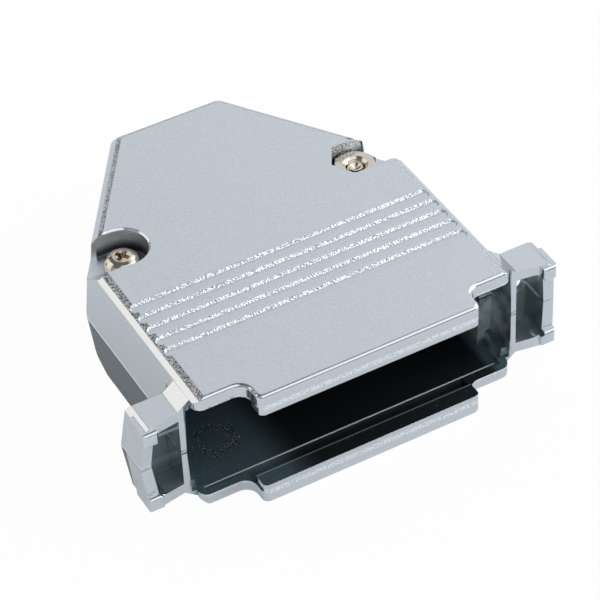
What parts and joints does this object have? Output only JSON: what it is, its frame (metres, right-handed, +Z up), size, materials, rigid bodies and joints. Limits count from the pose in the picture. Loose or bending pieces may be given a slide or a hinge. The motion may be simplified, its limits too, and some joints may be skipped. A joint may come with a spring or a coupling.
{
  "type": "d-sub hood",
  "caption": "Straight metallised hood in two equal halves for a D-sub connector, with flange ears, corner screw pockets, grip grooves and an inner cable clamp.",
  "frame": {"origin": "middle of the underside of the hood's box", "axes": "+X along the connector, +Y from the connector mouth to the cable exit, +Z up through the upper shell"},
  "size_m": [0.0698, 0.065, 0.0214],
  "materials": {
    "metallised_shell": "ABS with a satin nickel plating",
    "clamp_strip": "zinc-plated strip",
    "fastener_steel": "nickel-plated steel"
  },
  "bodies": {
    "root": {"upper_shell": "metallised_shell", "lower_shell": "metallised_shell", "cable_clamp_upper": "clamp_strip", "cable_clamp_lower": "clamp_strip", "case_screw_left": "fastener_steel", "case_nut_left": "fastener_steel", "case_screw_right": "fastener_steel", "case_nut_right": "fastener_steel", "clamp_screw_left": "fastener_steel", "clamp_nut_left": "fastener_steel", "clamp_screw_right": "fastener_steel", "clamp_nut_right": "fastener_steel"}
  },
  "joints": []
}
